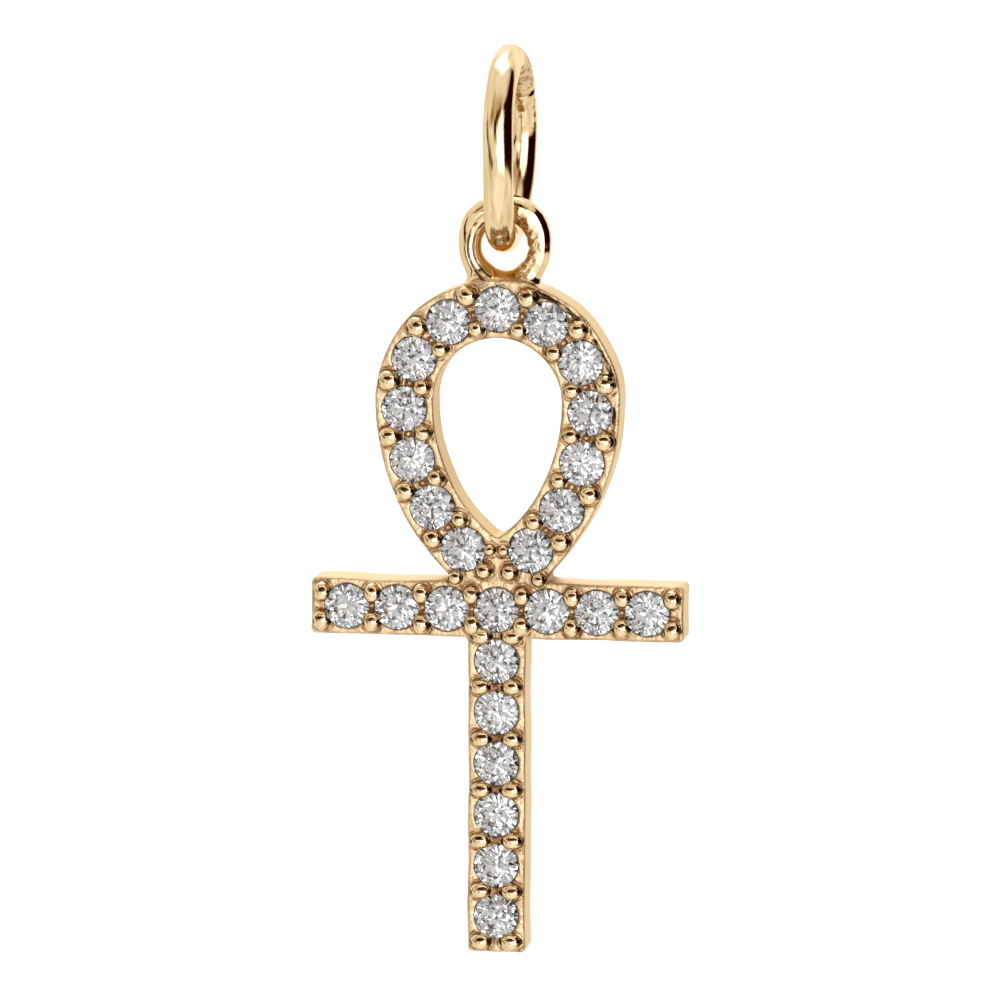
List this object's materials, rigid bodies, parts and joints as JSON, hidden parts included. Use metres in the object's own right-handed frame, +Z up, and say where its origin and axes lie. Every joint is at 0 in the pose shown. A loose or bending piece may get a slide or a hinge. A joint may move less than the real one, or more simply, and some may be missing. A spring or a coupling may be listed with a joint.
{
  "type": "ankh pendant",
  "caption": "Cast ankh pendant with round brilliant stones in its drop-shaped loop, crossbar and shaft, hung by a fixed eye from a round jump ring.",
  "frame": {"origin": "the top of the jump ring's hole, where a chain bears", "axes": "+Z up with the pendant hanging, the set face towards -Y, +X to the right as the face is seen"},
  "size_m": [0.0111, 0.0062, 0.0268],
  "materials": {
    "ring_gold": "polished yellow gold wire with drawing marks and a soldered joint",
    "cast_gold": "cast yellow gold, polished on the prongs and walls and grainy between the stones",
    "clear_stone": "colourless brilliant-cut stone, polished"
  },
  "bodies": {
    "ring": {"jump_ring": "ring_gold"},
    "ankh": {"ankh_frame": "cast_gold", "loop_stone_1": "clear_stone", "loop_stone_2": "clear_stone", "loop_stone_3": "clear_stone", "loop_stone_4": "clear_stone", "loop_stone_5": "clear_stone", "loop_stone_6": "clear_stone", "loop_stone_7": "clear_stone", "loop_stone_8": "clear_stone", "loop_stone_9": "clear_stone", "loop_stone_10": "clear_stone", "loop_stone_11": "clear_stone", "loop_stone_12": "clear_stone", "loop_stone_13": "clear_stone", "bar_stone_1": "clear_stone", "bar_stone_2": "clear_stone", "bar_stone_3": "clear_stone", "bar_stone_4": "clear_stone", "bar_stone_5": "clear_stone", "bar_stone_6": "clear_stone", "bar_stone_7": "clear_stone", "shaft_stone_1": "clear_stone", "shaft_stone_2": "clear_stone", "shaft_stone_3": "clear_stone", "shaft_stone_4": "clear_stone", "shaft_stone_5": "clear_stone", "shaft_stone_6": "clear_stone"}
  },
  "joints": [
    {"name": "ankh_swing", "type": "hinge", "parent": "ring", "child": "ankh", "pos_m": [-0.00013, 0, -0.00477], "axis": [-0.0349, 0.9994, 0.001], "range_deg": [-120, 120]}
  ]
}
